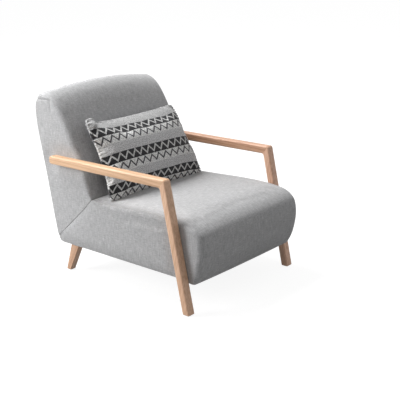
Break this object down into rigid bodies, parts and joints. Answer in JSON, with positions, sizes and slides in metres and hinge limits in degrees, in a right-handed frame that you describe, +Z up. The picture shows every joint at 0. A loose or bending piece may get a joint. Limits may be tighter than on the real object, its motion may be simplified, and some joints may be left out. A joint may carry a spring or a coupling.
{
  "type": "open-arm lounge chair",
  "caption": "Upholstered lounge chair hung between two mitred wooden arm frames, with splayed rear legs and one loose back cushion.",
  "frame": {"origin": "centre of the base, on the floor under the middle of the overall box", "axes": "+Z up, the chair faces -Y, +X to the sitter's left"},
  "size_m": [0.777, 1.001, 0.8674],
  "materials": {
    "beech_arm": "satin",
    "beech_leg": "satin",
    "frame_timber": "sawn",
    "dowel_wood": "smooth",
    "board": "plain",
    "calico": "plain woven",
    "grey_upholstery": "woven",
    "black_nonwoven": "matt",
    "wadding": "fibre",
    "foam": "open cell",
    "felt": "pressed",
    "webbing": "woven",
    "spring_steel": "oiled",
    "zinc_steel": "zinc plated",
    "clip_plastic": "moulded",
    "glide_plastic": "moulded",
    "cushion_cloth": "zigzag stripes, woven",
    "cushion_back_cloth": "woven",
    "cushion_fibre": "fibre"
  },
  "bodies": {
    "chair": {"front_seat_rail": "frame_timber", "spring_rail": "frame_timber", "rear_seat_rail": "frame_timber", "back_top_rail": "frame_timber", "back_middle_rail": "frame_timber", "seat_brace": "frame_timber", "corner_blocks": "frame_timber", "frame_dowels": "dowel_wood", "mitre_dowels": "dowel_wood", "arm_bolts": "zinc_steel", "arm_bolt_washers": "zinc_steel", "threaded_inserts": "zinc_steel", "rear_leg_plates": "zinc_steel", "rear_leg_bolts": "zinc_steel", "plate_screws": "zinc_steel", "foot_glides": "glide_plastic", "seat_springs": "spring_steel", "spring_clips": "clip_plastic", "back_webbing": "webbing", "spring_felt": "felt", "seat_cover": "grey_upholstery", "back_cover": "grey_upholstery", "rear_cover": "grey_upholstery", "dust_cover": "black_nonwoven", "seat_wadding": "wadding", "front_roll_foam": "foam", "seat_foam": "foam", "back_foam": "foam", "top_foam": "foam", "back_wadding": "wadding", "rear_padding": "wadding", "rear_board": "board", "crease_flaps": "calico", "left_arm_rail": "beech_arm", "left_front_leg": "beech_arm", "left_rear_leg": "beech_leg", "left_side_rail": "frame_timber", "left_back_post": "frame_timber", "left_back_stile": "frame_timber", "left_seat_side_cover": "grey_upholstery", "left_back_side_cover": "grey_upholstery", "left_side_wadding": "wadding", "left_side_board": "board", "right_arm_rail": "beech_arm", "right_front_leg": "beech_arm", "right_rear_leg": "beech_leg", "right_side_rail": "frame_timber", "right_back_post": "frame_timber", "right_back_stile": "frame_timber", "right_seat_side_cover": "grey_upholstery", "right_back_side_cover": "grey_upholstery", "right_side_wadding": "wadding", "right_side_board": "board"},
    "cushion": {"cushion_front_cover": "cushion_cloth", "cushion_back_cover": "cushion_back_cloth", "cushion_filling": "cushion_fibre"}
  },
  "joints": [
    {"name": "cushion_lift", "type": "slide", "parent": "chair", "child": "cushion", "axis": [0, 0, 1], "range_m": [0, 0.35]}
  ]
}
